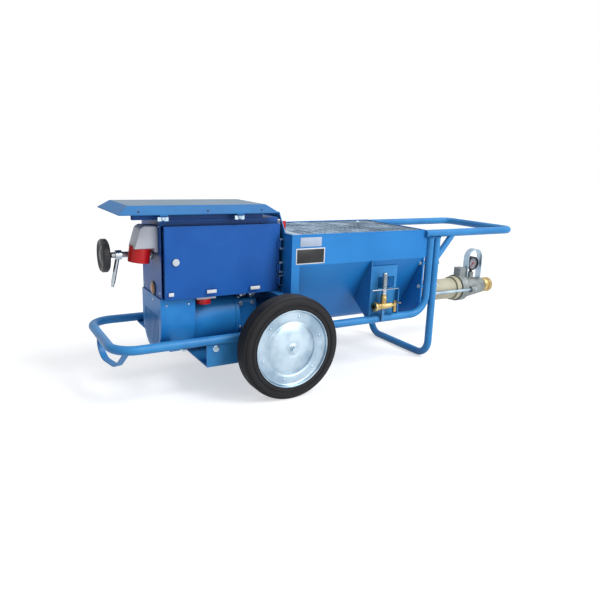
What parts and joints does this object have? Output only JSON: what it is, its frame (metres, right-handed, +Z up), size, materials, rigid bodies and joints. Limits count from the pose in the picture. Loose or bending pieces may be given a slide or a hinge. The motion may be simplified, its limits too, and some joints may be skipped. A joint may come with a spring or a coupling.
{
  "type": "progressive cavity pump",
  "caption": "Wheeled mortar pump: hopper with screw auger, gear motor and switch cabinet driving an eccentric screw pump with outlet coupling and gauge on a tubular barrow frame.",
  "frame": {"origin": "bottom centre of the whole machine's box, on the ground it stands on", "axes": "+X along the pump towards its outlet and the handle, +Z up; the door and the water fitting are on the -Y side"},
  "size_m": [2.0366, 0.75, 0.7165],
  "materials": {
    "frame_blue": "glossy sky-blue paint",
    "hopper_blue": "glossy sky-blue paint on sheet steel",
    "cabinet_blue": "glossy cobalt-blue paint",
    "roof_paint": "sky-blue paint, weathered",
    "motor_blue": "sky-blue paint on cast iron and sheet",
    "zinc": "bright zinc plating",
    "steel": "machined steel",
    "chrome": "chrome plate",
    "tyre": "solid black rubber",
    "nylon": "natural nylon",
    "black_plastic": "black moulded plastic",
    "grey_plastic": "pale grey moulded plastic",
    "red_plastic": "signal-red moulded plastic",
    "amber_plastic": "amber moulded plastic",
    "copper": "copper windings in a laminated stack",
    "gear_steel": "ground gear steel",
    "rubber": "black rubber lining",
    "stator_paint": "beige paint",
    "casting": "grey cast iron",
    "brass": "brass"
  },
  "bodies": {
    "chassis": {"frame_loop": "frame_blue", "handle_loop": "frame_blue", "front_leg": "frame_blue", "welded_braces": "frame_blue", "rear_foot": "frame_blue", "axle_cradle": "frame_blue", "support_bars": "frame_blue", "axle": "zinc", "axle_retainers": "zinc", "motor_housing": "motor_blue", "motor_end_shields": "motor_blue", "motor_windings": "copper", "fan_shroud": "motor_blue", "gearbox_housing": "motor_blue", "shaft_seal": "rubber", "hopper_trough": "hopper_blue", "hinge_brackets": "zinc", "pump_end_plate": "hopper_blue", "suction_flange": "casting", "stator_shell": "stator_paint", "stator_rubber": "rubber", "tie_rods": "zinc", "outlet_casting": "casting", "hose_coupling": "brass", "gauge_case": "black_plastic", "gauge_guard": "zinc", "cabinet_shell": "cabinet_blue", "switchgear": "grey_plastic", "service_sockets": "grey_plastic", "power_inlet": "grey_plastic", "indicator_lamp": "amber_plastic", "roof_sheet": "roof_paint", "roof_supports": "cabinet_blue", "roof_wing_nuts": "zinc", "spindle_bush": "steel", "water_valve_body": "brass"},
    "right_wheel": {"right_tyre": "tyre", "right_wheel_disc": "zinc", "right_wheel_bush": "nylon"},
    "left_wheel": {"left_tyre": "tyre", "left_wheel_disc": "zinc", "left_wheel_bush": "nylon"},
    "auger": {"auger_shaft": "steel", "auger_screw": "steel", "output_gear": "gear_steel"},
    "layshaft": {"layshaft": "gear_steel"},
    "motor_rotor": {"motor_rotor": "steel", "cooling_fan": "black_plastic"},
    "rotor_orbit": {"rotor_sleeve": "steel"},
    "pump_rotor": {"pump_rotor": "chrome"},
    "grille": {"hopper_grille": "zinc"},
    "door": {"cabinet_door": "cabinet_blue"},
    "door_lock": {"door_lock": "chrome"},
    "main_switch": {"main_switch_knob": "red_plastic"},
    "socket_lid": {"socket_lid": "red_plastic"},
    "handwheel": {"handwheel": "black_plastic"},
    "clamp_lever": {"clamp_lever": "chrome"},
    "water_handle": {"water_valve_handle": "chrome"},
    "drain_lever": {"drain_cock_lever": "brass"},
    "needle": {"gauge_needle": "red_plastic"}
  },
  "joints": [
    {"name": "right_wheel_turn", "type": "hinge", "parent": "chassis", "child": "right_wheel", "pos_m": [-0.38467, -0.325, 0.2], "axis": [0, 1, 0], "continuous": true},
    {"name": "left_wheel_turn", "type": "hinge", "parent": "chassis", "child": "left_wheel", "pos_m": [-0.38467, 0.325, 0.2], "axis": [0, 1, 0], "continuous": true},
    {"name": "auger_turn", "type": "hinge", "parent": "chassis", "child": "auger", "pos_m": [-0.08468, 0, 0.266], "axis": [1, 0, 0], "continuous": true},
    {"name": "layshaft_turn", "type": "hinge", "parent": "chassis", "child": "layshaft", "pos_m": [-0.44467, 0.075, 0.266], "axis": [1, 0, 0], "continuous": true},
    {"name": "motor_turn", "type": "hinge", "parent": "chassis", "child": "motor_rotor", "pos_m": [-0.58467, 0, 0.266], "axis": [1, 0, 0], "continuous": true},
    {"name": "orbit_turn", "type": "hinge", "parent": "chassis", "child": "rotor_orbit", "pos_m": [0.33532, 0, 0.266], "axis": [1, 0, 0], "continuous": true},
    {"name": "pump_rotor_turn", "type": "hinge", "parent": "rotor_orbit", "child": "pump_rotor", "pos_m": [0.51533, 0.006, 0.266], "axis": [1, 0, 0], "continuous": true},
    {"name": "grille_lift", "type": "hinge", "parent": "chassis", "child": "grille", "pos_m": [0.01533, 0.205, 0.595], "axis": [-1, 0, 0], "range_deg": [0, 95]},
    {"name": "door_swing", "type": "hinge", "parent": "chassis", "child": "door", "pos_m": [-0.33468, -0.1465, 0.508], "axis": [0, 0, 1], "range_deg": [0, 42]},
    {"name": "lock_turn", "type": "hinge", "parent": "door", "child": "door_lock", "pos_m": [-0.75667, -0.135, 0.513], "axis": [0, 1, 0], "range_deg": [0, 90]},
    {"name": "main_switch_turn", "type": "hinge", "parent": "chassis", "child": "main_switch", "pos_m": [-0.30967, -0.085, 0.629], "axis": [1, 0, 0], "range_deg": [0, 90]},
    {"name": "socket_lid_swing", "type": "hinge", "parent": "chassis", "child": "socket_lid", "pos_m": [-0.63967, -0.0755, 0.3475], "axis": [1, 0, 0], "range_deg": [0, 50], "stiffness_Nm_per_rad": 0.05, "springref_deg": -20.05},
    {"name": "handwheel_turn", "type": "hinge", "parent": "chassis", "child": "handwheel", "pos_m": [-0.94468, 0, 0.528], "axis": [1, 0, 0], "range_deg": [-720, 720]},
    {"name": "clamp_lever_turn", "type": "hinge", "parent": "chassis", "child": "clamp_lever", "pos_m": [-0.92668, 0, 0.528], "axis": [1, 0, 0], "range_deg": [-60, 60]},
    {"name": "water_valve_turn", "type": "hinge", "parent": "chassis", "child": "water_handle", "pos_m": [0.12333, -0.24, 0.35], "axis": [0, 0, 1], "range_deg": [0, 90]},
    {"name": "drain_cock_turn", "type": "hinge", "parent": "chassis", "child": "drain_lever", "pos_m": [0.18532, -0.24, 0.303], "axis": [0, 0, 1], "range_deg": [0, 90]},
    {"name": "gauge_needle_turn", "type": "hinge", "parent": "chassis", "child": "needle", "pos_m": [0.88333, -0.013, 0.389], "axis": [0, 1, 0], "range_deg": [0, 270]}
  ],
  "couplings": [
    {"joint": "layshaft_turn", "follows": "auger_turn", "ratio": -2.3333},
    {"joint": "motor_turn", "follows": "auger_turn", "ratio": 7},
    {"joint": "orbit_turn", "follows": "auger_turn", "ratio": -1},
    {"joint": "pump_rotor_turn", "follows": "auger_turn", "ratio": 2}
  ]
}
